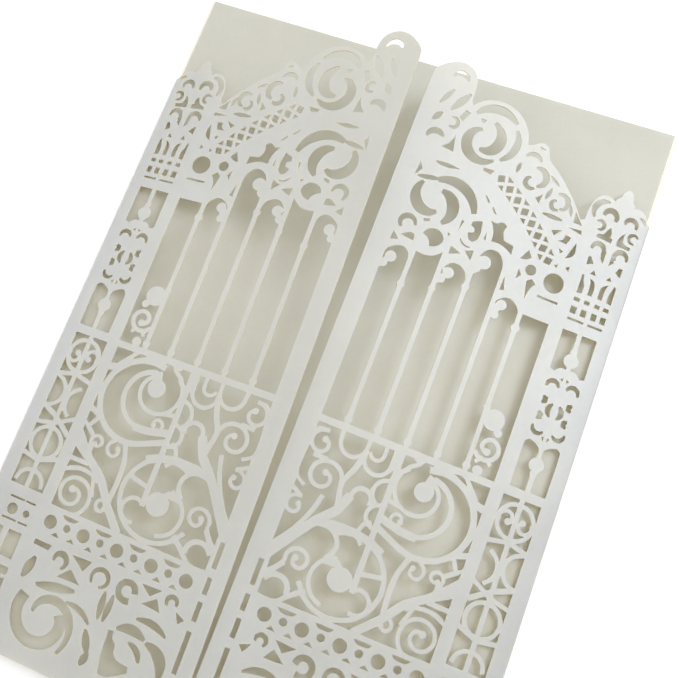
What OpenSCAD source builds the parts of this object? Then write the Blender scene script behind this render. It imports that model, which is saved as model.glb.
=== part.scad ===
// Gatefold invitation: one sheet of card, a plain back and two gates cut like wrought ironwork.
// The card lies on its back: X across, Y up the card, Z out of the back. The origin is under its middle.

/* [Card] */
// Width of the folded card, over both folds
card_w = 127; // [100:1:160]
// Height of the card
card_h = 177.8; // [140:0.2:220]
// Thickness of the sheet
sheet_t = 0.3; // [0.2:0.05:0.6]
// Inside radius of a fold
fold_r = 0.4; // [0.25:0.05:1]
// Thickening of the crease on each face of the sheet
fold_swell = 0.05; // [0.02:0.01:0.1]

/* [Gates] */
// Gap between the free edges of the gates when they lie shut
gate_gap = 0.5; // [0.2:0.1:4]
// Lift of the left gate at its head, in degrees
left_head = 16; // [4:0.5:40]
// Lift of the left gate at its foot, in degrees
left_foot = 1.7; // [0:0.1:10]
// Lift of the right gate at its head, in degrees
right_head = 10.8; // [4:0.5:40]
// Lift of the right gate at its foot, in degrees
right_foot = 1.7; // [0:0.1:10]

/* [Ironwork] */
// Width of a thin web
web = 1.15; // [0.8:0.05:1.6]
// Width of an upright bar
bar_w = 1.2; // [0.8:0.05:2]
// Width of the laser's cut
kerf = 0.1; // [0.05:0.01:0.3]

/* [Hidden] */
$fn = 48;
// The gate is drawn on a grid, counted from the fold and from the foot.
grid_cols = 62.5;
grid_rows = 178;
// How far a drawn curve may stray from its arc, in grid squares and as a part of its radius
slack_share = 0.13;
slack_limit_share = 0.12;
// Flat parts of a twisted gate, up the card and around its section
twist_slices = 10;
twist_parts = 10;
fold_out = fold_r + sheet_t + fold_swell;
fold_in = fold_r - fold_swell;
axis_x = card_w / 2 - fold_out;
gate_w = axis_x - gate_gap / 2;
tuck = fold_r / 2;
// Openings narrower than two of these are left uncut.
seal = 2 * kerf;
left_lift = [left_head, left_foot];
right_lift = [right_head, right_foot];

// Outline of the plain body of a gate, without the work that stands on it
body_shares = [
    [0, 0], [62.5, 0], [62.5, 168.4],
    // head of the free edge
    [60.4, 170.9], [58.2, 172.4], [55.8, 173], [53.4, 172.3], [51.8, 170.6], [51.2, 168.2], [51, 164.6],
    [50.4, 163.6],
    // upper scroll
    [48.3, 165.8], [45.5, 167.1], [42.4, 167.4], [39.4, 166.6], [36.9, 164.8], [35.1, 162.2], [34.4, 159.6],
    [33.4, 160], [31.2, 161.5], [29.4, 161.2], [28.6, 159.6],
    // slope of the arch
    [28, 158.1], [25.4, 156.4], [22.6, 154.1], [20, 151.6], [17.8, 149.1], [16.2, 146.9],
    // pillar head and its point
    [15.2, 147.4], [15.1, 150.4], [14.3, 153.2], [12.4, 155.1], [10.3, 155.2], [9.4, 154.6], [9.1, 155.6],
    [8.3, 156.3], [8, 157.7], [7, 158.8], [6, 158.4], [5.4, 157.2], [5.2, 156], [4.5, 155.5], [4.5, 154.5],
    [3.4, 155.1], [1.4, 154.3], [0, 152]
];

// Height of a gate at its fold, where that outline ends
hinge_h = body_shares[len(body_shares) - 1][1] * card_h / grid_rows;

// Openings with straight sides: left, foot, right, head
slot_shares = [
    // pillar, upper half
    [2.6, 127.2, 4, 128.2], [4.9, 127.2, 6.3, 128.2], [7.5, 127.2, 8.9, 128.2], [10, 127.2, 11.5, 128.2],
    [2.6, 124, 4, 125.8], [4.9, 124, 6.3, 125.8], [7.5, 124, 8.9, 125.8], [10, 124, 11.5, 125.8],
    [2.7, 122.3, 6.4, 122.9], [7.4, 122.3, 11.5, 122.9],
    // bracket slit
    [14.7, 124.5, 20, 125.1],
    // beside the free edge
    [57.7, 37.3, 58.9, 43.6], [57.7, 31.2, 58.9, 35.2], [57.6, 24.8, 58.8, 29.4], [57.6, 12.4, 58.8, 22.4],
    // pillar, below the rail of circles
    [3.2, 20.6, 6.4, 27], [8, 20.6, 11.6, 27],
    [4.8, 34.2, 8.8, 34.7], [9.2, 34.2, 11.9, 34.7], [9.2, 28.9, 11.9, 29.4], [4.8, 28.9, 8.8, 29.4]
];

// Windows that hold drawn work, with cut corners
window_shares = [
    // pillar, between the bands
    [[3, 109.6], [3, 119.7], [11.6, 119.7], [11.6, 109.6], [10.4, 109.2], [9.2, 110.4], [5.4, 110.4],
        [4.2, 109.2]],
    [[3, 80], [3, 91], [4, 91.9], [5.4, 91.4], [6.6, 90.4], [8, 90.4], [9.2, 91.4], [10.6, 91.9], [11.6, 91],
        [11.6, 80]],
    // pillar, foot
    [[3.2, 37.6], [3.2, 77.8], [12.3, 77.8], [12.3, 37.6]],
    [[3.2, 5], [3.2, 18.6], [11.9, 18.6], [11.9, 5]],
    // between the bars
    [[15.1, 79.4], [15.1, 119.3], [22.3, 119.3], [22.3, 79.4]],
    [[22.3, 79.4], [22.3, 117.6], [23.4, 120.2], [25.2, 121.6], [26.9, 121.5], [29.3, 119.6], [29.3, 79.4]],
    [[29.3, 79.4], [29.3, 126], [30.4, 129.6], [31.8, 131.2], [33.6, 131.4], [35.2, 130.4], [36.7, 127.4],
        [36.7, 79.4]],
    [[36.7, 79.4], [36.7, 120.6], [38, 123.7], [39.9, 124.8], [41.7, 124.6], [43.2, 122.8], [44, 120.6],
        [44, 79.4]],
    [[44, 79.4], [44, 126.8], [46.4, 124.6], [48.4, 124], [51.3, 124.2], [51.3, 79.4]],
    [[51.3, 79.4], [51.3, 120.4], [52.4, 123.1], [53.7, 124], [55.4, 123.7], [57, 122.6], [57.6, 121.6],
        [57.6, 79.4]],
    // lower panel, in three that overlap
    [[15.4, 36.3], [15.4, 77.7], [29.6, 77.7], [29.6, 36.3]],
    [[29.2, 36.3], [29.2, 77.7], [43.6, 77.7], [43.6, 36.3]],
    [[43.2, 36.3], [43.2, 77.7], [57.6, 77.7], [57.6, 45.6], [56.6, 44.4], [56.6, 36.3]]
];

// Small openings with corners
facet_shares = [
    // over the arch
    [[26.8, 149.3], [28.3, 147.7], [27, 146.6]], [[29.6, 160.2], [31.4, 160.6], [31, 159.6]],
    [[39.8, 150.2], [42.6, 149.9], [42.4, 149.1], [40.4, 148.9]],
    [[50.9, 150.6], [54.2, 150.9], [52.6, 152.4], [51.8, 154.9]],
    [[50.2, 161.6], [51.6, 161.8], [52.6, 159.4], [51.4, 158.8]],
    [[45.9, 161.5], [47.4, 161.4], [47, 160.4], [46.2, 160.5]],
    // pillar head
    [[2.5, 144], [6, 144], [6, 145.4], [5.6, 146.6], [4.6, 147.9], [4.7, 146.4], [4.2, 145.2], [2.4, 144.9]],
    [[7.3, 144.1], [11.2, 144.3], [11, 145.2], [9.6, 145.7], [9.2, 146.6], [8.4, 148], [7.8, 146.6],
        [7.9, 145.5], [7.2, 145.2]],
    [[2.6, 129.3], [3.9, 129.5], [3.9, 131.4], [3.5, 132.6], [3.1, 134.3], [2.6, 133.6]],
    [[5, 129.6], [6.2, 129.6], [6.2, 132], [5.8, 133], [4.5, 133.9], [5, 132.4]],
    [[7.6, 129.6], [8.8, 129.6], [8.8, 132.4], [9.3, 133.9], [8, 133.2], [7.6, 132]],
    [[10.1, 129.5], [11.4, 129.3], [11.4, 134.2], [10.9, 134.2], [10.6, 132.6], [10.1, 131.6]],
    [[2.6, 136.6], [4, 137.4], [3.4, 139], [2.5, 139]],
    [[9.6, 137.6], [11.3, 136.8], [11.4, 139], [10.8, 139.2]],
    [[4.2, 134.9], [5.6, 134.9], [4.8, 136]], [[8.2, 134.9], [9.7, 134.9], [9, 136.1]],
    [[6.1, 142], [5.1, 139.6], [6.2, 138.4]], [[7.6, 142], [8.7, 139.6], [7.6, 138.4]],
    // pillar, between its scrolls
    [[6.2, 107.9], [7, 108.3], [6.8, 107.3]], [[7.6, 108.3], [8.4, 107.9], [7.8, 107.3]],
    [[6.3, 93.2], [6.9, 93.6], [6.9, 92.2]], [[7.7, 93.6], [8.3, 93.2], [7.7, 92.2]],
    // bracket
    [[15.3, 145.5], [17.6, 145.4], [17.8, 148.4]], [[14.7, 143.2], [18.6, 143.9], [15, 144.3]],
    [[14.8, 137.8], [15.2, 141], [16.6, 136.2]],
    [[16.8, 141.6], [18.4, 141.9], [18.6, 140.4], [20, 139.7], [17.4, 139.6]],
    [[19.4, 142.6], [22, 141.6], [21, 140.6]], [[17.6, 137.6], [18.8, 138], [18.2, 136.8]],
    [[14.8, 134.7], [15.8, 134], [14.8, 133.2]], [[17.6, 134.2], [18.6, 133.6], [17.8, 133]],
    [[24.2, 133.2], [25.4, 134.8], [26.8, 132], [25, 132.4]], [[25.2, 128.2], [26.2, 129.6], [26.2, 126.8]],
    [[21.2, 127.2], [22.4, 128.2], [23.5, 127.4], [23.2, 125.4], [22.6, 123], [22.2, 125.6]],
    [[27.8, 123], [28.9, 122.8], [28.8, 126.6]],
    // under the arch
    [[29, 131.9], [29.2, 134.2], [31.8, 134.6], [32.6, 136.6], [32.2, 138.2], [33.6, 138.8], [34.8, 138],
        [36.4, 138.2], [34.9, 135.6], [34.7, 133.2], [32.6, 133.4], [30.6, 132.8]],
    [[38.2, 137.2], [40.4, 136.2], [40.5, 135.1], [39.3, 134.6], [39.4, 133.6], [40.6, 133.2], [40.1, 131.8],
        [38.9, 131.3], [37.9, 132.4], [37.7, 134.4]],
    [[45.5, 128.6], [45.9, 130], [47.2, 130.9], [48.8, 130.9], [50.2, 130], [50.7, 128.8], [49.6, 128.4],
        [48.7, 127.6], [48.2, 126.4], [46.6, 127]],
    [[36, 133], [36.4, 135.2], [36.6, 133]], [[42.4, 135.4], [43, 135.6], [43, 132.6]],
    [[37.7, 129.6], [39.8, 128.6], [37.8, 126.8]], [[40.4, 127.6], [43.4, 128.6], [43.2, 126.4]],
    [[52.2, 126.2], [55.6, 126.6], [53.4, 128], [52.4, 127.8]],
    [[55.6, 125.2], [57.6, 124.6], [57.4, 126.8]],
    [[50.2, 132.9], [51.8, 132.4], [51.6, 131.6], [50.2, 132.2]],
    [[57.4, 145.4], [57.7, 141.6], [56.4, 143.8]],
    [[47.6, 147.2], [51, 147.5], [54, 147.1], [53.6, 146.5], [50.4, 146.4]],
    [[38, 142.2], [39.6, 143.8], [39.8, 143.4], [38.6, 142]],
    [[35.6, 140], [37, 141.6], [37.2, 141.2], [36.2, 140]], [[44.4, 131.2], [45.3, 131.5], [44.8, 130.3]],
    // foot panel
    [[15.2, 27.4], [19.8, 27.4], [19.4, 26], [15.2, 26.2]], [[25.4, 27.4], [30.8, 27.7], [29.3, 24.8]],
    [[26.5, 24.2], [29.9, 21.6], [23.8, 21.4]], [[43.8, 27.9], [49, 28.2], [46.6, 25.9]],
    [[48.5, 26.1], [50.2, 23.4], [45.4, 23.7]], [[53.6, 25.2], [56.2, 24.1], [55, 22.8], [54.2, 24]],
    [[40.4, 15.4], [41.8, 15.6], [42, 13.9], [43.2, 12.8], [43.5, 11], [45, 9.8], [47.8, 9.6], [48.1, 8.2],
        [45.8, 6.6], [43.2, 5.4], [41.6, 5.5], [40.9, 9]]
];

// Round openings: across, up, radius
hole_shares = [
    [17.2, 129.2, 2.5], [23.4, 130.2, 1.35], [6.6, 31.6, 1.4], [10.5, 31.6, 0.9]
];

// Tapered curved openings: centre, radii at the ends, angles at the ends, widths at the ends and the middle
comma_shares = [
    // upper scroll by the free edge
    [43.2, 158.2, 7, 7, 34, 132, 0.9, 2.4], [43.2, 158.4, 6.4, 6.4, 145, 236, 0.7, 2],
    [45, 157.2, 4.6, 3.3, 105, 275, 0.9, 2.9], [44.9, 155.8, 3.3, 5.2, 68, -140, 0.7, 2.8],
    [55.5, 168, 2.2, 2.2, 20, 160, 0.5, 1.5], [53.6, 157.6, 1.3, 1.3, 60, 300, 0.4, 1.1],
    [56.2, 151.8, 2.3, 2.3, 5, 140, 0.6, 1.7],
    // scrolls over the arch
    [29.6, 152.7, 2.5, 2.3, 70, 255, 0.6, 1.8], [30.4, 150.9, 1.5, 1.5, -140, 70, 0.6, 1.3],
    [22.2, 149, 2.1, 1.9, 60, 260, 0.6, 1.4], [22.9, 147.9, 1.3, 1.2, -130, 80, 0.5, 1.1],
    [31.8, 155.6, 2.4, 2.4, 150, 30, 0.5, 1.3],
    // pillar head
    [10.7, 150.6, 3.3, 3, 95, -36, 0.5, 1.6], [2.9, 150.4, 2.7, 2.7, 100, 154, 0.4, 0.9],
    [4, 150.3, 1.5, 1.5, -15, 200, 0.7, 1.3], [9.4, 150.4, 1.65, 1.65, -5, 205, 0.9, 1.6],
    [2.3, 147.1, 1.2, 1.2, -110, 150, 0.4, 0.9], [11.3, 147.5, 1.2, 1.2, 40, 280, 0.4, 1],
    [3.9, 141.3, 1.6, 1.6, -40, 190, 0.6, 1.4], [9.8, 141.3, 1.6, 1.6, -10, 220, 0.6, 1.4],
    // pillar scrolls
    [4.8, 105.4, 1.5, 1.5, 10, 190, 0.6, 1.2], [9.6, 105.4, 1.5, 1.5, -10, 170, 0.6, 1.2],
    [3.6, 101.9, 0.9, 0.9, -80, 80, 0.5, 1.5], [11, 101.9, 0.9, 0.9, 100, 260, 0.5, 1.5],
    [3.6, 97.9, 0.9, 0.9, -80, 80, 0.5, 1.5], [11, 97.9, 0.9, 0.9, 100, 260, 0.5, 1.5],
    [7.9, 99.9, 2.2, 2.2, 130, 230, 0.4, 1.4], [6.7, 99.9, 2.2, 2.2, -50, 50, 0.4, 1.4],
    [4.8, 95.2, 1.5, 1.5, 170, 330, 0.5, 1.1], [9.6, 95.2, 1.5, 1.5, 210, 370, 0.5, 1.1],
    // big scroll under the arch
    [48.1, 136.2, 7.5, 7.5, 166, 60, 1.3, 2.7], [50.4, 136.7, 4.9, 3.8, 234, 96, 1, 3.1],
    [51.4, 137.9, 4.8, 3.4, 42, -124, 0.9, 2.9], [39.6, 132.3, 2.6, 2.6, 255, 330, 0.3, 0.5],
    [55, 129.7, 2, 1.8, 175, -50, 0.7, 1.4],
    // foot panel
    [23, 24.9, 1.5, 1.9, 200, -60, 0.6, 1.5], [34, 24.9, 1.9, 2.3, -80, 222, 0.6, 1.2],
    [41.2, 24.9, 2.3, 1.9, 300, 0, 1.6, 1.5], [52, 26.6, 1.3, 1.3, -20, 230, 0.6, 1.2],
    [29.4, 8.6, 8.4, 8.4, 97, 44, 0.6, 1.5],
    [24.6, 11.4, 7.4, 4.1, 150, 392, 2.9, 3], [24.6, 11, 3.2, 8.2, 165, -42, 0.8, 2.2],
    [45.6, 10.6, 6.8, 6.8, 122, 58, 0.7, 2.5], [48.2, 11, 9.5, 9.5, 106, 56, 0.6, 1.8],
    [49.6, 10.4, 5.6, 5.6, 90, -6, 0.9, 2.9], [45.4, 10.2, 4.4, 4.4, 84, 14, 0.6, 1.6],
    [52, 12, 6.4, 6.4, 236, 306, 0.6, 1.6]
];

// Leaf openings: from, to, width
leaf_shares = [
    // upper scroll and head of the free edge
    [[51.8, 166], [55.2, 160.4], 2], [[56, 165.6], [58.4, 161], 1.4], [[56.8, 159], [58.6, 156.4], 1.6],
    // over and under the arch
    [[25.1, 151.6], [25.9, 148.4], 1.1], [[34.4, 154.8], [34.8, 151.9], 1.1],
    [[20.2, 144.8], [25.4, 144.8], 1.2], [[26.4, 154.5], [23.6, 152.7], 0.8],
    [[18.6, 146.6], [19.6, 149.4], 1], [[51.4, 143], [56.9, 141.8], 1.3],
    // foot panel
    [[36.4, 22.9], [36.9, 16.3], 1.7], [[38.6, 22.9], [38.2, 16.3], 1.7], [[17.1, 23.6], [15.7, 18.1], 2.4],
    [[35.2, 13.3], [37.6, 8.2], 2], [[37.9, 8.8], [36.9, 5.4], 1.9], [[19.6, 17.9], [29.4, 19.9], 2.4]
];
// Width of a leaf at its tips, of its full width
leaf_tip_share = 0.3;
leaf_steps = 5;

// Scrolls and arcs of card: centre, radii and angles at the ends, end widths in webs, radius of the eye
scroll_shares = [
    // finial by the pillar
    [18.9, 86.2, 3.3, 1, 330, -90, 1, 0.9, 0.9], [18.9, 81.4, 2, 2, 20, 150, 0.8, 0.8, 0],
    // lower panel
    [26.5, 66.7, 10.3, 10.3, 72, 292, 1.4, 1.3, 0], [29, 68.3, 7.6, 6.6, 278, 98, 1, 1.2, 0],
    [30, 70.5, 6.7, 4, 72, -226, 0.9, 0.9, 0], [32.8, 63, 2.1, 0.8, 230, 560, 0.8, 0.7, 0.7],
    [41.5, 74, 3.3, 3.3, 170, 370, 0.9, 0.9, 0], [42.2, 75.6, 1.7, 1.7, 180, 350, 0.8, 0.8, 0],
    [48, 75.8, 3.2, 3.2, 190, 352, 0.9, 0.9, 0], [54.9, 73.2, 3.3, 1.1, 100, -250, 0.9, 0.8, 0.8],
    [52, 66, 4.4, 1.1, 165, -260, 1, 0.8, 0.8], [42.2, 64.4, 2.4, 2.4, 200, 0, 1, 1, 0],
    [37, 67.4, 3.3, 3.3, 88, -60, 0.9, 0.9, 0], [37, 61.9, 2.9, 2.9, 84, -84, 0.9, 0.9, 0],
    [37, 57.4, 3.2, 3.2, 70, -60, 0.9, 0.9, 0], [55.8, 57.6, 2.6, 0.9, 110, -220, 0.8, 0.8, 0.7],
    [40.3, 46.6, 9.7, 9.7, 58, 332, 1, 1, 0], [41.4, 44.4, 5.6, 5.6, 80, -80, 0.9, 0.9, 0],
    [35.1, 42.4, 2.9, 2.9, 52, 290, 0.9, 0.9, 0], [47.4, 52.1, 3.8, 3.8, 234, 76, 1, 1, 0],
    [50.6, 46.2, 3.2, 0.9, -25, 385, 0.9, 0.8, 0.8], [19.4, 40.4, 5.2, 1.1, -70, 470, 0.9, 0.8, 0.9],
    [19.6, 39, 7.8, 7.8, 118, 52, 0.8, 0.8, 0], [20.3, 54, 2, 0.8, 250, -130, 0.8, 0.7, 0.7],
    [25.2, 53.7, 2.3, 0.9, 100, 400, 0.8, 0.7, 0.7], [27.5, 40.2, 2, 0.9, 20, 340, 0.8, 0.8, 0.7],
    [53.4, 38.6, 3, 3, 20, 190, 1, 1.2, 0],
    // pillar foot
    [7.7, 72.4, 4.2, 4.2, 0, 360, 0.9, 0.9, 0], [5.6, 72, 2, 0.9, 150, 420, 0.8, 0.8, 0.8],
    [9.8, 72.8, 2, 0.9, -30, 240, 0.8, 0.8, 0.8], [3, 62, 4, 4, 80, -80, 0.9, 0.9, 0],
    [12.4, 60.6, 4.2, 4.2, 110, 240, 0.9, 0.9, 0], [7.7, 49.2, 4, 4, 0, 360, 0.9, 0.9, 0],
    [7.7, 38.4, 3.6, 3.6, 0, 180, 0.9, 0.9, 0], [7.5, 11.8, 3.9, 3.9, 0, 360, 0.9, 0.9, 0]
];

// Straight and bent strips of card: points, then the width in webs
strip_shares = [
    // eyes of the bars
    [[[41.7, 122], [43.8, 119.2]], 1.2], [[[55.9, 120.6], [57.9, 117.8]], 1.2],
    [[[27.2, 119.4], [28.9, 116.4]], 1.2], [[[34.5, 127.6], [36.5, 124.6]], 1.4],
    // lower panel
    [[[36.8, 78], [36.8, 44]], 1.2], [[[27.4, 60.7], [31.4, 60.9], [36.8, 62.2]], 1.6],
    [[[29.2, 71], [28.2, 75.2]], 2], [[[29.8, 57], [36.8, 60]], 1.3],
    [[[44.6, 64.4], [46.4, 60], [50, 56.2], [54, 50.6], [58, 44.6]], 1.9],
    [[[44.8, 74], [46, 70], [47.6, 66.4], [46.6, 61]], 1.2], [[[51.1, 75], [51.4, 78]], 0.9],
    [[[38.2, 74], [38.2, 78]], 0.9], [[[44.8, 74.4], [44.8, 78]], 0.9], [[[40.5, 75.4], [40.6, 78]], 0.8],
    [[[19.4, 52.6], [19.6, 49]], 0.8], [[[56, 70], [52.4, 70.2]], 0.9],
    [[[54.3, 76.4], [56.4, 76.3], [58, 75]], 0.8],
    [[[50.6, 62], [51.6, 58], [53.8, 53], [57.8, 47.2]], 1], [[[55, 60], [58, 61.6]], 0.9],
    [[[55.4, 62.6], [58, 64.4]], 0.9], [[[30.8, 49.8], [33.6, 49.2], [36.8, 48.6]], 1],
    [[[33.4, 54.6], [36.4, 56], [41, 56.9], [46, 56.8], [50.4, 55.6]], 1.5],
    [[[45.2, 48.6], [42, 48.8], [40.6, 47]], 1.6],
    [[[15, 52.6], [20, 49.6], [24.6, 46.4], [28.8, 41], [33.6, 36]], 1.7],
    [[[15, 55.4], [17.4, 52.8], [21, 49.4]], 1], [[[15, 48.3], [20.4, 48.4]], 1],
    [[[27.2, 56.4], [28.7, 52], [29, 47], [28.6, 41]], 1.1],
    [[[53.4, 44.8], [55.6, 42], [57.4, 41]], 1.2], [[[15, 45.2], [19, 46.7], [24.6, 46.2]], 0.9],
    [[[18.4, 60.2], [16.4, 56.6], [18.6, 55.2]], 1], [[[15, 61.4], [17.8, 60.4]], 1.2],
    [[[15, 72.4], [18.4, 73]], 1.6], [[[18.6, 55.4], [15.2, 57.8]], 0.8], [[[22.6, 46.6], [24.4, 41.4]], 0.8],
    [[[46.6, 40.6], [49.4, 38.4], [52, 36]], 1.1], [[[34, 75], [36.6, 73]], 1],
    [[[31.6, 77], [33.6, 78]], 1.2], [[[33.4, 66], [36.8, 66.6]], 0.9], [[[17.6, 73.6], [21.4, 78]], 1],
    // pillar
    [[[7.3, 109], [7.3, 120]], 1], [[[7.3, 79.6], [7.3, 92]], 1], [[[7.7, 37], [7.7, 78]], 1],
    [[[7.5, 4.6], [7.5, 19]], 1], [[[3, 66.4], [7.7, 67.6], [12.4, 66.6]], 1],
    [[[3, 58], [7.7, 56], [12.4, 52.6]], 1.1], [[[3, 53.4], [7.7, 54.4], [12.4, 57]], 0.9],
    [[[3, 45.4], [7.7, 44.6], [12.4, 46.4]], 1], [[[3, 16.6], [7.5, 15.4], [12.2, 16.6]], 0.8],
    [[[3, 7], [7.5, 8.2], [12.2, 7]], 0.8]
];

// Upright bars: across, foot, head
bar_shares = [
    [22.3, 79, 120], [29.3, 79, 128], [36.7, 79, 129], [44, 79, 127.6], [51.3, 79, 125]
];

// Solid round eyes and knobs: across, up, radius
disc_shares = [
    // heads of the bars
    [34.5, 127.6, 1.7], [41.7, 122, 1.4], [55.9, 120.6, 1.4], [27.2, 119.4, 1.3], [28, 116.6, 1],
    [35.7, 125.6, 1], [42.8, 120, 1], [57, 118.6, 1],
    // lower panel
    [40.3, 45.8, 2.9], [29.3, 71.2, 2.3],
    // finial and pillar
    [19.8, 92.8, 2.6], [17.9, 90.2, 1], [19.6, 80.4, 1.2], [7.3, 112.8, 1.8], [7.3, 115, 0.9],
    [7.3, 86.6, 1.8], [7.3, 84.4, 0.9],
    // knobs and feet of the bars
    [22.3, 115.4, 1.1], [22.3, 95, 0.9], [51.3, 115.2, 1], [36.7, 120.4, 1], [44, 117, 0.9],
    [22.3, 80.6, 1], [29.3, 80.6, 1], [36.7, 80.6, 1], [44, 80.6, 1], [51.3, 80.6, 1]
];

// Lattice along the arch: centre, inner and outer radius, angles at its ends, insets of its two kinds of cut
lattice_shares = [68.2, 96.2, 59.1, 62.9, 118.6, 143.3, 0.55, 0.7];
// Half widths of a diamond and a triangle in the lattice, of its pitch
lattice_width_shares = [0.34, 0.3];
lattice_count = 8;

// Rail of circles: height of its middle, first and last circle, radii, half depth of the rail
rail_shares = [32.3, 17.1, 53.3, 1.65, 0.95, 2.75];
rail_count = 9;
// Cuts above and below a small circle, in pitches of the rail and its half depths
rail_head_shares = [[-0.5, 1], [0.5, 1], [0.28, 0.66], [-0.28, 0.66]];
rail_foot_shares = [[0.22, -1], [0.72, -1], [0.46, -0.64]];

function lift_at(y, lift) = lift[1] + (lift[0] - lift[1]) * y / grid_rows;
function spot(p, lift) = [p[0] * gate_w / grid_cols * cos(lift_at(p[1], lift)), p[1] * card_h / grid_rows];
function spots(pts, lift) = [for (p = pts) spot(p, lift)];
function arc_step(r) = 2 * acos(1 - min(slack_share / r, slack_limit_share));
function round_pts(c, r) = [for (i = [0 : ceil(360 / arc_step(r)) - 1])
    let (a = i * 360 / ceil(360 / arc_step(r))) [c[0] + r * cos(a), c[1] + r * sin(a)]];
function spiral(s) = let (n = max(3, ceil(abs(s[5] - s[4]) / arc_step(max(s[2], s[3])))))
    [for (i = [0 : n]) let (t = i / n, r = s[2] + (s[3] - s[2]) * t, a = s[4] + (s[5] - s[4]) * t)
        [s[0] + r * cos(a), s[1] + r * sin(a)]];
function side(pts, i) = let (d = pts[min(i + 1, len(pts) - 1)] - pts[max(i - 1, 0)]) [-d[1], d[0]] / norm(d);
function ribbon(pts, widths) = concat(
    [for (i = [0 : len(pts) - 1]) pts[i] + side(pts, i) * widths[i] / 2],
    [for (i = [len(pts) - 1 : -1 : 0]) pts[i] - side(pts, i) * widths[i] / 2]);
function ramp(a, b, n) = [for (i = [0 : n - 1]) a + (b - a) * i / (n - 1)];
function swell(a, b, n) = [for (i = [0 : n - 1]) a + (b - a) * sin(180 * i / (n - 1))];
function polar(c, r, a) = [c[0] + r * cos(a), c[1] + r * sin(a)];

// A curl of card, with a round eye at its end if it has one
module scroll(s, lift) {
    pts = spiral(s);
    polygon(ribbon(spots(pts, lift), ramp(s[6] * web, s[7] * web, len(pts))));
    if (s[8] > 0)
        polygon(spots(round_pts(pts[len(pts) - 1], s[8]), lift));
}

// A curved cut, widest at its middle
module comma(s, lift) {
    pts = spiral(s);
    polygon(spots(ribbon(pts, swell(s[6], s[7], len(pts))), lift));
}

module leaf(l, lift) {
    pts = [for (i = [0 : leaf_steps]) l[0] + (l[1] - l[0]) * i / leaf_steps];
    polygon(spots(ribbon(pts, swell(leaf_tip_share * l[2], l[2], len(pts))), lift));
}

// Diamonds along the arch, with a triangle over and under each meeting of two
module lattice(lift) {
    c = [lattice_shares[0], lattice_shares[1]];
    low = lattice_shares[2];
    high = lattice_shares[3];
    mid = (low + high) / 2;
    tip = lattice_shares[6];
    rise = lattice_shares[7];
    pitch = (lattice_shares[5] - lattice_shares[4]) / lattice_count;
    wide = lattice_width_shares * pitch;
    for (i = [0 : lattice_count - 1]) {
        a = lattice_shares[4] + pitch * (i + 0.5);
        polygon(spots([polar(c, low + tip, a), polar(c, mid, a - wide[0]), polar(c, high - tip, a),
            polar(c, mid, a + wide[0])], lift));
        if (i > 0) {
            b = a - pitch / 2;
            for (e = [[low, mid - rise], [high, mid + rise]])
                polygon(spots([polar(c, e[0], b - wide[1]), polar(c, e[0], b + wide[1]), polar(c, e[1], b)],
                    lift));
        }
    }
}

// Large and small circles by turns, with cuts above and below each small one
module circle_rail(lift) {
    pitch = (rail_shares[2] - rail_shares[1]) / (rail_count - 1);
    for (i = [0 : rail_count - 1]) {
        large = i % 2 == 0;
        c = [rail_shares[1] + pitch * i, rail_shares[0]];
        polygon(spots(round_pts(c, large ? rail_shares[3] : rail_shares[4]), lift));
        if (!large) {
            unit = [pitch, rail_shares[5]];
            polygon(spots([for (p = rail_head_shares) c + [p[0] * unit[0], p[1] * unit[1]]], lift));
            for (s = [-1, 1])
                polygon(spots([for (p = rail_foot_shares) c + [s * p[0] * unit[0], p[1] * unit[1]]], lift));
        }
    }
}

// The ironwork that fills the windows
module ironwork(lift) {
    for (s = scroll_shares)
        scroll(s, lift);
    for (s = strip_shares)
        polygon(ribbon(spots(s[0], lift), [for (p = s[0]) s[1] * web]));
    for (b = bar_shares)
        polygon(ribbon(spots([[b[0], b[1]], [b[0], b[2]]], lift), [bar_w, bar_w]));
    for (d = disc_shares)
        polygon(spots(round_pts(d, d[2]), lift));
}

// What the laser takes out of one window, without slivers that it couldn't cut
module window_gaps(w, lift) {
    difference() {
        polygon(spots(w, lift));
        ironwork(lift);
    }
}

// The gaps without their narrow ends, and nowhere past them by more than half a kerf
module window_cuts(w, lift) {
    offset(delta = 0)
        intersection() {
            offset(r = kerf / 2)
                window_gaps(w, lift);
            offset(delta = seal)
                offset(delta = -seal)
                    window_gaps(w, lift);
        }
}

// The cut sheet of one gate as it shows from above, its fold at the left
module gate_plan(lift) {
    difference() {
        polygon(concat([[-tuck, 0]], spots(body_shares, lift), [[-tuck, hinge_h]]));
        for (w = window_shares)
            window_cuts(w, lift);
        for (s = slot_shares)
            polygon(spots([[s[0], s[1]], [s[2], s[1]], [s[2], s[3]], [s[0], s[3]]], lift));
        for (f = facet_shares)
            polygon(spots(f, lift));
        for (h = hole_shares)
            polygon(spots(round_pts(h, h[2]), lift));
        for (s = comma_shares)
            comma(s, lift);
        for (l = leaf_shares)
            leaf(l, lift);
        lattice(lift);
        circle_rail(lift);
    }
}

// The sheet of one gate before it is cut, turning steadily about its fold from head to foot
module gate_sheet(lift) {
    translate([0, card_h, 0])
        rotate([90, 0, 0])
            rotate([0, 0, lift[0]])
                linear_extrude(height = card_h, twist = lift[0] - lift[1], slices = twist_slices,
                    segments = twist_parts)
                    translate([-tuck, fold_r])
                        square([gate_w + tuck, sheet_t]);
}

// One gate of the card, the left one
module gate(lift) {
    translate([-axis_x, -card_h / 2, fold_out])
        intersection() {
            linear_extrude(height = gate_w * sin(max(lift)) + fold_out)
                gate_plan(lift);
            gate_sheet(lift);
        }
}

// The plain back that the card lies on
module back() {
    translate([-axis_x, -card_h / 2, 0])
        cube([2 * axis_x, card_h, sheet_t]);
}

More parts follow.
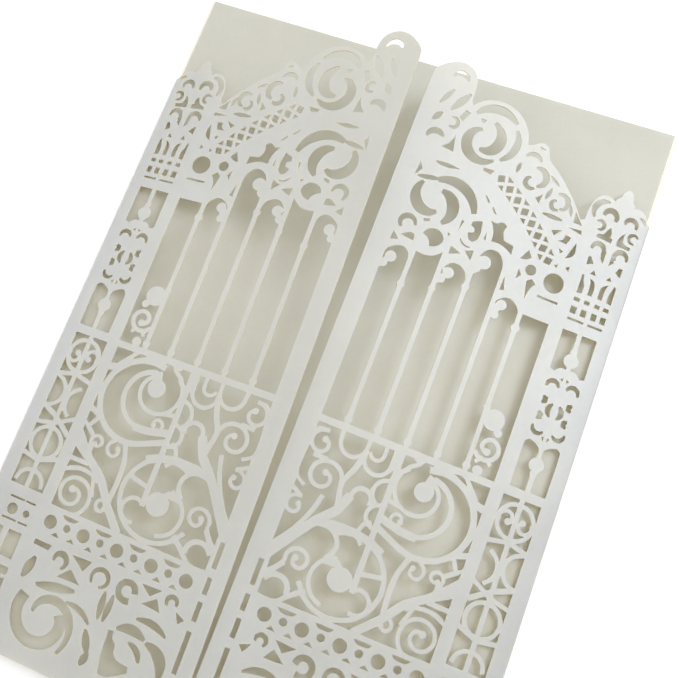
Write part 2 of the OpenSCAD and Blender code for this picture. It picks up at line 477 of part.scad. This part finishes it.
// The crease at one fold, as high as the gate that hangs on it
module crease(s) {
    translate([s * axis_x, hinge_h - card_h / 2, fold_out])
        rotate([90, 0, 0])
            linear_extrude(height = hinge_h)
                difference() {
                    circle(r = fold_out);
                    circle(r = fold_in);
                    translate([s > 0 ? -2 * fold_out : 0, -fold_out])
                        square([2 * fold_out, 2 * fold_out]);
                }
}

module gatefold_card() {
    color("ivory") {
        back();
        for (s = [-1, 1])
            crease(s);
        gate(left_lift);
        mirror([1, 0, 0])
            gate(right_lift);
    }
}

gatefold_card();
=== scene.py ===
import math

import bmesh
import bpy
from mathutils import Matrix, Vector
from mathutils.geometry import delaunay_2d_cdt


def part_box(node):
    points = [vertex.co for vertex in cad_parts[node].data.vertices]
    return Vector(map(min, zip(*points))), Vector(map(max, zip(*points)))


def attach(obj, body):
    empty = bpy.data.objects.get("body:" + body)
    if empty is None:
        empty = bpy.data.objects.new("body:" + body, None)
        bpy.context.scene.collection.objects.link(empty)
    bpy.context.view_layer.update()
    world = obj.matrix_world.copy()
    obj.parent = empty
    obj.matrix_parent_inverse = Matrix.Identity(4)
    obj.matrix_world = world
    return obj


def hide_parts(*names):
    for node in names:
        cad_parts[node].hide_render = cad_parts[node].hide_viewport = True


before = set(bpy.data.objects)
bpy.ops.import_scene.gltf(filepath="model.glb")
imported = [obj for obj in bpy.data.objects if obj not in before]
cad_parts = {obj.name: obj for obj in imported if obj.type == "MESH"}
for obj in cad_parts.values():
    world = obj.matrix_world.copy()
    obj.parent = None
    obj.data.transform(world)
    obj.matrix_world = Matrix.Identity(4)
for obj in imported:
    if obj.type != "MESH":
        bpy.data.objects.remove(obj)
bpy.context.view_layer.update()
mm = 0.001
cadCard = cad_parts["gatefold_card"]
cardLow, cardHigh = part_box("gatefold_card")
print("frame loaded")


# Camera

cameraSet = {
    "place": (13.0, -34.69, 175.93),  # mm from the middle of the card
    "aim": (-14.42, -7.24, 0.0),
    "roll": 21.99,  # degrees that the card leans in the picture
    "focalPixels": 729.22,
    "lensCentre": (248.61, 380.67),  # pixel that the lens axis meets
    "image": (679, 678),
    "sensor": 36.0,
    "clip": (0.01, 10),
}


def makeCamera(made):
    place = Vector(made["place"]) * mm
    forward = (Vector(made["aim"]) * mm - place).normalized()
    level = forward.cross(Vector((0, 1, 0))).normalized()
    lean = math.radians(made["roll"])
    upward = level.cross(forward) * math.cos(lean) - level * math.sin(lean)
    axes = Matrix((forward.cross(upward), upward, -forward)).transposed()
    data = bpy.data.cameras.new("photoCamera")
    wide, high = made["image"]
    data.sensor_width = made["sensor"]
    data.lens = made["focalPixels"] / wide * made["sensor"]
    data.shift_x = (wide / 2 - made["lensCentre"][0]) / wide
    data.shift_y = (made["lensCentre"][1] - high / 2) / wide
    data.clip_start, data.clip_end = made["clip"]
    camera = bpy.data.objects.new("photoCamera", data)
    camera.matrix_world = Matrix.Translation(place) @ axes.to_4x4()
    bpy.context.scene.collection.objects.link(camera)
    bpy.context.scene.camera = camera


makeCamera(cameraSet)
print("camera set")


# Cut sheet: the pattern of each gate is read from the solid and laid out flat

sheetSet = {
    "sheet": 0.3 * mm,
    "foldRadius": 0.4 * mm,
    "creaseSwell": 0.05 * mm,
    "lift": {"left": (1.7, 16.0), "right": (1.7, 10.8)},  # degrees at the foot and at the head
    "cornerTurn": 58.0,  # sharper turns of a cut stay corners
    "arcTurn": 9.0,  # degrees between the points of a rounded cut
    "longestEdge": 4.0 * mm,
    "gridPitch": 4.5 * mm,  # points inside the sheet, so that it can bend
    "gridParts": 4,  # parts of the pitch: a grid point stays about one of them clear of a cut
    "creaseSteps": 10,
    "backSteps": 26,
    "foldSteps": 56,
    "leastUpward": 0.6,  # an outer face of a gate looks up at least this much
    "foldSlack": 0.05 * mm,  # a point this near to the fold lies on it
    "straightSlack": 4e-6,
    "shortest": 1e-9,  # nothing is divided by less
    "weld": 1e-7,
    "fillSlack": 1e-8,
    "sharpTurn": 40.0,
}
cardHeight = cardHigh.y - cardLow.y
foldOut = sheetSet["foldRadius"] + sheetSet["sheet"] + sheetSet["creaseSwell"]
foldAxis = cardHigh.x - foldOut
creaseLength = math.pi * (foldOut - sheetSet["sheet"] / 2)


def liftAt(side, height):
    foot, head = sheetSet["lift"][side]
    return math.radians(foot + (head - foot) * height / cardHeight)


def topFaces(solid, side):
    # the outer faces of one gate: they look up and stand clear of the back
    sign = -1 if side == "left" else 1
    found = {}  # keeps the order of the solid, so that each run cuts alike
    for face in solid.faces:
        middle = face.calc_center_median()
        looksUp = face.normal.z > sheetSet["leastUpward"] and middle.z > foldOut
        if looksUp and 0 < sign * middle.x < foldAxis:
            found[face] = True
    return found


def rimLoops(faces):
    # closed runs of points around those faces
    following = {}
    for face in faces:
        for corner in face.loops:
            if not any(other in faces for other in corner.edge.link_faces if other is not face):
                following.setdefault(corner.vert, []).append(corner.link_loop_next.vert)
    loops = []
    while following:
        start = next(iter(following))
        run = [start]
        while True:
            exits = following[run[-1]]
            ahead = exits.pop()
            if not exits:
                del following[run[-1]]
            if ahead is start:
                break
            run.append(ahead)
        loops.append([vert.co.copy() for vert in run])
    return loops


def layFlat(loop, side):
    # across from the fold and up from the foot
    flat = []
    for place in loop:
        height = place.y - cardLow.y
        flat.append(Vector(((foldAxis - abs(place.x)) / math.cos(liftAt(side, height)), height)))
    return flat


def loopArea(points):
    return sum(points[i - 1].cross(points[i]) for i in range(len(points))) / 2


def dropStraight(points):
    # leaves out the points that lie on the line between their neighbours
    kept = list(points)
    changed = True
    while changed and len(kept) > 3:
        changed = False
        i = 0
        while i < len(kept) and len(kept) > 3:
            before, here, after = kept[i - 1], kept[i], kept[(i + 1) % len(kept)]
            chord = after - before
            off = abs(chord.cross(here - before)) / max(chord.length, sheetSet["shortest"])
            if off < sheetSet["straightSlack"]:
                del kept[i]
                changed = True
            else:
                i += 1
    return kept


def roundLoop(points):
    # a smooth cut through the points, with its corners kept
    count = len(points)
    steps = [points[(i + 1) % count] - points[i] for i in range(count)]
    turns = []
    for i in range(count):
        before, after = steps[i - 1], steps[i]
        turns.append(abs(math.degrees(math.atan2(before.cross(after), before.dot(after)))))
    slopes = []
    for i in range(count):
        onFold = points[i].x < sheetSet["foldSlack"]
        if onFold or turns[i] > sheetSet["cornerTurn"]:
            slopes.append(None)
        else:
            reach = min(steps[i - 1].length, steps[i].length)
            slopes.append((steps[i - 1].normalized() + steps[i].normalized()).normalized() * reach)
    smooth = []
    for i in range(count):
        j = (i + 1) % count
        a, b = points[i], points[j]
        chord = b - a
        bend = sum(turns[k] for k in (i, j) if slopes[k] is not None) / 2
        byTurn = math.ceil(bend / sheetSet["arcTurn"])
        byLength = math.ceil(chord.length / sheetSet["longestEdge"])
        parts = max(1, byTurn, byLength)
        leaving, coming = slopes[i], slopes[j]
        if leaving is None and coming is None:
            leaving = coming = chord
        elif leaving is None:
            leaving = chord * 1.5 - coming * 0.5
        elif coming is None:
            coming = chord * 1.5 - leaving * 0.5
        for k in range(parts):
            t = k / parts
            smooth.append(
                a * (2 * t**3 - 3 * t**2 + 1)
                + leaving * (t**3 - 2 * t**2 + t)
                + b * (3 * t**2 - 2 * t**3)
                + coming * (t**3 - t**2)
            )
    return smooth


def gatePattern(solid, side):
    # outline of a gate without its fold, then its openings
    loops = [layFlat(loop, side) for loop in rimLoops(topFaces(solid, side))]
    if loopArea(max(loops, key=lambda loop: abs(loopArea(loop)))) < 0:
        loops = [loop[::-1] for loop in loops]
    loops = [roundLoop(dropStraight(loop)) for loop in loops]
    loops.sort(key=loopArea)
    outline = loops.pop()
    onFold = [point.x < sheetSet["foldSlack"] for point in outline]
    first = next(i for i in range(len(outline)) if onFold[i - 1] and not onFold[i])
    outline = outline[first:] + outline[:first]
    head = max(point.y for point in outline if point.x < sheetSet["foldSlack"])
    return [point for point in outline if point.x >= sheetSet["foldSlack"]], loops, head


def addGate(flatMesh, side, pattern, foldRow):
    # fills one gate with triangles, joined to the row of points on its fold
    chain, openings, _ = pattern
    points = [*chain, *[Vector((0, vert.co.y + cardHeight / 2)) for vert in reversed(foldRow)]]
    rims = [list(range(len(points)))]
    for opening in openings:
        rims.append(list(range(len(points), len(points) + len(opening))))
        points += reversed(opening)
    pitch, parts = sheetSet["gridPitch"], sheetSet["gridParts"]
    wide = max(point.x for point in chain)
    high = max(point.y for point in chain)
    clear = set()
    for point in points:  # parts of the grid that a cut comes through
        clear.add((round(point.x / pitch * parts), round(point.y / pitch * parts)))
    around = [(a, b) for a in (-1, 0, 1) for b in (-1, 0, 1)]
    for i in range(1, int(wide / pitch) + 1):
        for j in range(1, int(high / pitch) + 1):
            if not any((parts * i + a, parts * j + b) in clear for a, b in around):
                points.append(Vector((i * pitch, j * pitch)))
    filled = delaunay_2d_cdt(points, [], rims, 1, sheetSet["fillSlack"], True)
    places, _, faces, origins, _, faceRims = filled
    sign = -1 if side == "left" else 1
    verts = {}
    foldStart = len(chain)
    for i, place in enumerate(places):
        onRow = [k - foldStart for k in origins[i] if foldStart <= k < foldStart + len(foldRow)]
        if onRow:
            verts[i] = foldRow[len(foldRow) - 1 - onRow[0]]
    for face, inRims in zip(faces, faceRims):
        if list(inRims) != [0]:  # inside an opening
            continue
        for i in face:
            if i not in verts:
                across = sign * (foldAxis + creaseLength + places[i].x)
                verts[i] = flatMesh.verts.new((across, places[i].y - cardHeight / 2, 0))
        corners = [verts[i] for i in (face if sign > 0 else reversed(face))]
        flatMesh.faces.new(corners)


def addGrid(flatMesh, columns):
    # quads between columns of points, as high as the shorter of two
    for left, right in zip(columns, columns[1:]):
        for j in range(min(len(left), len(right)) - 1):
            flatMesh.faces.new((left[j], right[j], right[j + 1], left[j + 1]))


def cutSheet():
    solid = bmesh.new()
    solid.from_mesh(cadCard.data)
    bmesh.ops.remove_doubles(solid, verts=solid.verts, dist=sheetSet["weld"])
    patterns = {side: gatePattern(solid, side) for side in ("left", "right")}
    solid.free()
    head = patterns["left"][2]
    creaseSteps, backSteps, foldSteps = (sheetSet[name] for name in ("creaseSteps", "backSteps", "foldSteps"))
    rows = [head * k / foldSteps for k in range(foldSteps + 1)]
    above = max(2, round((cardHeight - head) / rows[1]))
    topRows = [head + (cardHeight - head) * (k + 1) / above for k in range(above)]
    creases = [foldAxis + creaseLength * k / creaseSteps for k in range(1, creaseSteps + 1)]
    backs = [foldAxis * (2 * k / backSteps - 1) for k in range(backSteps + 1)]
    flatMesh = bmesh.new()
    columns = []
    for x in [*[-x for x in reversed(creases)], *backs, *creases]:
        heights = rows + topRows if abs(x) < foldAxis + sheetSet["weld"] else rows
        columns.append([flatMesh.verts.new((x, y - cardHeight / 2, 0)) for y in heights])
    addGrid(flatMesh, columns)
    addGate(flatMesh, "left", patterns["left"], columns[0])
    addGate(flatMesh, "right", patterns["right"], columns[-1])
    data = bpy.data.meshes.new("cutSheet")
    flatMesh.to_mesh(data)
    flatMesh.free()
    sheet = bpy.data.objects.new("gatefoldCard", data)
    bpy.context.scene.collection.objects.link(sheet)
    return sheet


card = cutSheet()
print("sheet cut flat,", len(card.data.polygons), "faces")


# Paper

paperSet = {
    "pearl": (0.94, 0.93, 1.0, 1),  # sheen of the coating, a touch of lilac
    "pearlIor": 2.1,
    "pearlRoughness": 0.45,
    "sheenShare": 1 / 3,  # of the coat
    "bleed": 0.75,  # share of the light that goes through the card, warmer as it does
    "bleedReach": (1.0, 0.835, 0.46),
    "bleedScale": 0.95 * mm,
    "fibreScale": 2200.0,
    "fibreNoise": {"Detail": 4.0, "Roughness": 0.65},
    "warp": {"Rotation": (0.3, 0.2, 0.7), "Scale": (1.0, 0.28, 1.0)},
    "weft": {"Rotation": (0.1, 0.5, -0.9), "Scale": (0.3, 1.0, 1.0)},
    "cloudScale": 60.0,
    "cloudDetail": 3.0,
    "cloudShare": 0.6,  # of the tone, and the fibres give the rest
    "toneSpread": (0.38, 0.68),
    "glossSpread": (0.4, 0.75),
    "glossSwing": 0.08,
    "fibreHeight": 0.02 * mm,
}
finishSet = {
    "pearlCard": {
        "light": (0.79, 0.793, 0.80, 1),
        "dark": (0.73, 0.73, 0.725, 1),
        "roughness": 0.45,
        "metallic": 0.05,
        "coat": 0.6,
        "bump": 0.12,
    },
    "insideOfCard": {
        "light": (0.745, 0.76, 0.75, 1),
        "dark": (0.69, 0.70, 0.68, 1),
        "roughness": 0.6,
        "metallic": 0.0,
        "coat": 0.2,
        "bump": 0.12,
    },
    "laserCutEdge": {
        "light": (0.84, 0.77, 0.62, 1),
        "dark": (0.74, 0.65, 0.48, 1),
        "roughness": 0.75,
        "metallic": 0.0,
        "coat": 0.0,
        "bump": 0.3,
    },
}


class Wiring:
    # puts nodes into a tree and joins them
    def __init__(self, tree):
        self.tree = tree

    def add(self, kind, values=None, **settings):
        node = self.tree.nodes.new(kind)
        for name, value in settings.items():
            setattr(node, name, value)
        for socket, value in (values or {}).items():
            if isinstance(value, bpy.types.NodeSocket):
                self.tree.links.new(value, node.inputs[socket])
            else:
                node.inputs[socket].default_value = value
        return node

    def math(self, operation, *values):
        node = self.add("ShaderNodeMath", dict(enumerate(values)), operation=operation)
        return node.outputs[0]


def fibreGroup():
    # fine felt of the paper: a soft cloud in its tone, and fibres in its tone and height
    group = bpy.data.node_groups.new("paperFibre", "ShaderNodeTree")
    for name in ("Fibre Scale", "Cloud Scale"):
        group.interface.new_socket(name, in_out="INPUT", socket_type="NodeSocketFloat")
    for name in ("Tone", "Height"):
        group.interface.new_socket(name, in_out="OUTPUT", socket_type="NodeSocketFloat")
    w = Wiring(group)
    given = w.add("NodeGroupInput")
    place = w.add("ShaderNodeTexCoord").outputs["Object"]
    cloud = w.add(
        "ShaderNodeTexNoise",
        {"Vector": place, "Scale": given.outputs["Cloud Scale"], "Detail": paperSet["cloudDetail"]},
    )
    strands = []
    for way in ("warp", "weft"):
        stretched = w.add("ShaderNodeMapping", {"Vector": place, **paperSet[way]})
        noise = {"Vector": stretched.outputs[0], "Scale": given.outputs["Fibre Scale"]}
        strands.append(w.add("ShaderNodeTexNoise", noise | paperSet["fibreNoise"]).outputs[0])
    felt = w.math("MAXIMUM", *strands)
    clouded = w.math("MULTIPLY", cloud.outputs[0], paperSet["cloudShare"])
    tone = w.math("ADD", clouded, w.math("MULTIPLY", felt, 1 - paperSet["cloudShare"]))
    w.add("NodeGroupOutput", {"Tone": tone, "Height": felt})
    return group


paperFibre = fibreGroup()


def paperMaterial(name):
    finish = finishSet[name]
    made = bpy.data.materials.new(name)
    made.use_nodes = True
    w = Wiring(made.node_tree)
    shader = made.node_tree.nodes["Principled BSDF"]
    fibre = w.add("ShaderNodeGroup", node_tree=paperFibre)
    fibre.inputs["Fibre Scale"].default_value = paperSet["fibreScale"]
    fibre.inputs["Cloud Scale"].default_value = paperSet["cloudScale"]
    tone, height = fibre.outputs["Tone"], fibre.outputs["Height"]
    low, high = paperSet["toneSpread"]
    spread = w.add("ShaderNodeMapRange", {0: tone, 1: low, 2: high})
    colour = w.add("ShaderNodeMix", {"Factor": spread.outputs[0]}, data_type="RGBA")
    colour.inputs[6].default_value = finish["dark"]
    colour.inputs[7].default_value = finish["light"]
    low, high = paperSet["glossSpread"]
    dull = finish["roughness"] + paperSet["glossSwing"]
    bright = finish["roughness"] - paperSet["glossSwing"]
    gloss = w.add("ShaderNodeMapRange", {0: height, 1: low, 2: high, 3: dull, 4: bright})
    felt = {"Strength": finish["bump"], "Distance": paperSet["fibreHeight"], "Height": height}
    relief = w.add("ShaderNodeBump", felt)
    links = made.node_tree.links
    links.new(colour.outputs[2], shader.inputs["Base Color"])
    links.new(gloss.outputs[0], shader.inputs["Roughness"])
    links.new(relief.outputs[0], shader.inputs["Normal"])
    shader.inputs["Metallic"].default_value = finish["metallic"]
    shader.inputs["Coat Weight"].default_value = finish["coat"]
    shader.inputs["Coat Roughness"].default_value = paperSet["pearlRoughness"]
    shader.inputs["Coat IOR"].default_value = paperSet["pearlIor"]
    shader.inputs["Sheen Weight"].default_value = finish["coat"] * paperSet["sheenShare"]
    shader.inputs["Sheen Tint"].default_value = paperSet["pearl"]
    shader.subsurface_method = "BURLEY"
    shader.inputs["Subsurface Weight"].default_value = paperSet["bleed"]
    shader.inputs["Subsurface Radius"].default_value = paperSet["bleedReach"]
    shader.inputs["Subsurface Scale"].default_value = paperSet["bleedScale"]
    return made


pearlFace = paperMaterial("pearlCard")
insideFace = paperMaterial("insideOfCard")
cutEdge = paperMaterial("laserCutEdge")
print("paper mixed")


# Folding: a tree gives the flat sheet its thickness and folds it into the card

foldSet = {
    "Sheet": sheetSet["sheet"],
    "Fold Axis": foldAxis,
    "Fold Height": foldOut,
    "Crease Length": creaseLength,
    "Crease Swell": sheetSet["creaseSwell"],
    "Card Height": cardHeight,
    "Left Foot Lift": math.radians(sheetSet["lift"]["left"][0]),
    "Left Head Lift": math.radians(sheetSet["lift"]["left"][1]),
    "Right Foot Lift": math.radians(sheetSet["lift"]["right"][0]),
    "Right Head Lift": math.radians(sheetSet["lift"]["right"][1]),
    "Waviness": 0.12 * mm,
    "Wave Scale": 28.0,
    "Wave Detail": 1.0,
    "Loose From Fold": 12 * mm,
    "Weld": 1e-6,
}


def foldTree():
    tree = bpy.data.node_groups.new("foldCard", "GeometryNodeTree")
    tree.interface.new_socket("Geometry", in_out="INPUT", socket_type="NodeSocketGeometry")
    tree.interface.new_socket("Geometry", in_out="OUTPUT", socket_type="NodeSocketGeometry")
    for name in foldSet:
        tree.interface.new_socket(name, in_out="INPUT", socket_type="NodeSocketFloat")
    w = Wiring(tree)
    given = w.add("NodeGroupInput").outputs

    # thickness: the sheet is pushed up by its thickness and closed underneath
    raised = w.add(
        "GeometryNodeExtrudeMesh",
        {"Mesh": given["Geometry"], "Offset Scale": given["Sheet"], "Individual": False},
    )
    marked = raised
    for name, part in (("cutEdge", "Side"), ("insideFace", "Top")):
        marked = w.add(
            "GeometryNodeStoreNamedAttribute",
            {"Geometry": marked.outputs[0], "Name": name, "Value": raised.outputs[part]},
            data_type="BOOLEAN",
            domain="FACE",
        )
    under = w.add("GeometryNodeFlipFaces", {"Mesh": given["Geometry"]})
    both = w.add("GeometryNodeJoinGeometry")
    tree.links.new(marked.outputs[0], both.inputs[0])
    tree.links.new(under.outputs[0], both.inputs[0])
    closed = w.add("GeometryNodeMergeByDistance", {"Geometry": both.outputs[0], "Distance": given["Weld"]})

    # where a point of the flat sheet lies: on the back, in the crease or on a gate
    flat = w.add("GeometryNodeInputPosition").outputs[0]
    parts = w.add("ShaderNodeSeparateXYZ", {0: flat}).outputs
    side = w.math("SIGN", parts["X"])
    right = w.math("GREATER_THAN", parts["X"], 0.0)
    across = w.math("ABSOLUTE", parts["X"])
    onBack = w.math("MINIMUM", across, given["Fold Axis"])
    past = w.math("SUBTRACT", across, given["Fold Axis"])
    bent = w.add("ShaderNodeClamp", {0: w.math("DIVIDE", past, given["Crease Length"])}).outputs[0]
    onGate = w.math("MAXIMUM", w.math("SUBTRACT", past, given["Crease Length"]), 0.0)

    # lift of the gate at this height
    height = w.math("ADD", w.math("DIVIDE", parts["Y"], given["Card Height"]), 0.5)
    ends = []
    for end in ("Foot Lift", "Head Lift"):
        sides = {0: right, 2: given[f"Left {end}"], 3: given[f"Right {end}"]}
        ends.append(w.add("ShaderNodeMix", sides).outputs[0])
    lift = w.add("ShaderNodeMix", {0: height, 2: ends[0], 3: ends[1]}, clamp_factor=False).outputs[0]
    turn = w.math("MULTIPLY", bent, w.math("SUBTRACT", math.pi, lift))

    # slight waves, as card has after cutting
    noise = {"Vector": flat, "Scale": given["Wave Scale"], "Detail": given["Wave Detail"]}
    waves = w.add("ShaderNodeTexNoise", noise).outputs[0]
    loose = w.add("ShaderNodeMapRange", {0: onGate, 1: 0.0, 2: given["Loose From Fold"]}).outputs[0]
    wave = w.math("MULTIPLY", w.math("MULTIPLY", w.math("SUBTRACT", waves, 0.5), given["Waviness"]), loose)

    # distance from the axis of the fold, a little less on the gate than on the back
    slim = w.math("MULTIPLY", bent, given["Crease Swell"])
    outer = w.math("SUBTRACT", given["Fold Height"], slim)
    reach = w.math("ADD", w.math("SUBTRACT", outer, parts["Z"]), wave)
    sine = w.math("SINE", turn)
    cosine = w.math("COSINE", turn)
    outward = w.math("ADD", w.math("MULTIPLY", sine, reach), w.math("MULTIPLY", cosine, onGate))
    upward = w.math("SUBTRACT", w.math("MULTIPLY", sine, onGate), w.math("MULTIPLY", cosine, reach))
    folded = w.add(
        "ShaderNodeCombineXYZ",
        {
            "X": w.math("MULTIPLY", side, w.math("ADD", onBack, outward)),
            "Y": parts["Y"],
            "Z": w.math("ADD", given["Fold Height"], upward),
        },
    )
    moved = {"Geometry": closed.outputs[0], "Position": folded.outputs[0]}
    shaped = w.add("GeometryNodeSetPosition", moved)

    whole = w.add("GeometryNodeRealizeInstances", {0: shaped.outputs[0]})
    dressed = w.add("GeometryNodeSetMaterial", {"Geometry": whole.outputs[0], "Material": pearlFace})
    for name, material in (("insideFace", insideFace), ("cutEdge", cutEdge)):
        chosen = w.add("GeometryNodeInputNamedAttribute", {"Name": name}, data_type="BOOLEAN")
        dressed = w.add(
            "GeometryNodeSetMaterial",
            {"Geometry": dressed.outputs[0], "Selection": chosen.outputs[0], "Material": material},
        )
    w.add("NodeGroupOutput", {"Geometry": dressed.outputs[0]})
    return tree


def foldCard(sheet):
    tree = foldTree()
    folding = sheet.modifiers.new("foldCard", "NODES")
    folding.node_group = tree
    for socket in tree.interface.items_tree:
        if socket.in_out == "INPUT" and socket.name in foldSet:
            folding[socket.identifier] = foldSet[socket.name]
    bpy.context.view_layer.update()
    evaluated = sheet.evaluated_get(bpy.context.evaluated_depsgraph_get())
    folded = bpy.data.meshes.new_from_object(evaluated)
    sheet.modifiers.remove(folding)
    sheet.data = folded
    folded.polygons.foreach_set("use_smooth", [True] * len(folded.polygons))
    folded.set_sharp_from_angle(angle=math.radians(sheetSet["sharpTurn"]))


foldCard(card)
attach(card, "root")
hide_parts("gatefold_card")
print("card folded,", len(card.data.polygons), "faces")


# Floor and light

lightSet = {
    "key": {"place": (0.25, 0.22, 0.40), "size": 0.28, "power": 0.79, "colour": (0.86, 0.93, 1.0)},
    "fill": {"place": (-0.45, 0.06, 0.3), "size": 0.4, "power": 0.34, "colour": (0.8, 0.87, 1.0)},
}
worldSet = {"colour": (1.0, 0.985, 0.925, 1), "strength": 0.53}
floorSet = {
    "half": 1.2,
    "drop": 0.05 * mm,
    "light": (0.97, 0.97, 0.97, 1),
    "dark": (0.95, 0.95, 0.95, 1),
    "glowBeside": 0.36,
    "glowUnder": 0.27,
    "glowUnderColour": (1.0, 0.9, 0.58, 1),  # colour of the painted glow under the card, light that comes up through the card and warms the shade inside it
    "roughness": 0.9,
    "cloud": {"Scale": 4.0, "Detail": 2.0},
}


def makeFloor():
    half, drop = floorSet["half"], floorSet["drop"]
    data = bpy.data.meshes.new("floor")
    corners = [(-half, -half, -drop), (half, -half, -drop), (half, half, -drop), (-half, half, -drop)]
    data.from_pydata(corners, [], [(0, 1, 2, 3)])
    floor = bpy.data.objects.new("floor", data)
    bpy.context.scene.collection.objects.link(floor)
    made = bpy.data.materials.new("paleFloor")
    made.use_nodes = True
    w = Wiring(made.node_tree)
    shader = made.node_tree.nodes["Principled BSDF"]
    place = w.add("ShaderNodeTexCoord").outputs["Object"]
    cloud = w.add("ShaderNodeTexNoise", {"Vector": place, **floorSet["cloud"]})
    colour = w.add("ShaderNodeMix", {"Factor": cloud.outputs[0]}, data_type="RGBA")
    colour.inputs[6].default_value = floorSet["dark"]
    colour.inputs[7].default_value = floorSet["light"]
    made.node_tree.links.new(colour.outputs[2], shader.inputs["Base Color"])
    shader.inputs["Roughness"].default_value = floorSet["roughness"]
    # the floor glows though it is no lamp: evenly bright beside the card, and under it a dim, warm painted
    # glow that comes up through the card and warms the shade inside it
    parts = w.add("ShaderNodeSeparateXYZ", {0: place}).outputs
    outX = w.math("GREATER_THAN", w.math("ABSOLUTE", parts["X"]), cardHigh.x)
    outY = w.math("GREATER_THAN", w.math("ABSOLUTE", parts["Y"]), cardHigh.y)
    beside = w.math("MAXIMUM", outX, outY)
    glow = w.add("ShaderNodeMapRange", {0: beside, 3: floorSet["glowUnder"], 4: floorSet["glowBeside"]})
    tint = w.add("ShaderNodeMix", {"Factor": beside}, data_type="RGBA")
    tint.inputs[6].default_value = floorSet["glowUnderColour"]
    tint.inputs[7].default_value = floorSet["light"]
    made.node_tree.links.new(glow.outputs[0], shader.inputs["Emission Strength"])
    made.node_tree.links.new(tint.outputs[2], shader.inputs["Emission Color"])
    data.materials.append(made)


def makeLights():
    for name, made in lightSet.items():
        data = bpy.data.lights.new(name, "AREA")
        data.shape = "DISK"
        data.size = made["size"]
        data.energy = made["power"]
        data.color = made["colour"]
        light = bpy.data.objects.new(name, data)
        light.location = made["place"]
        light.rotation_euler = (-Vector(made["place"])).to_track_quat("-Z", "Y").to_euler()
        bpy.context.scene.collection.objects.link(light)
    world = bpy.data.worlds.new("studio")
    world.use_nodes = True
    sky = world.node_tree.nodes["Background"]
    sky.inputs["Color"].default_value = worldSet["colour"]
    sky.inputs["Strength"].default_value = worldSet["strength"]
    bpy.context.scene.world = world
    bpy.context.scene.view_settings.view_transform = "Standard"


makeFloor()
makeLights()
print("floor and lights set")
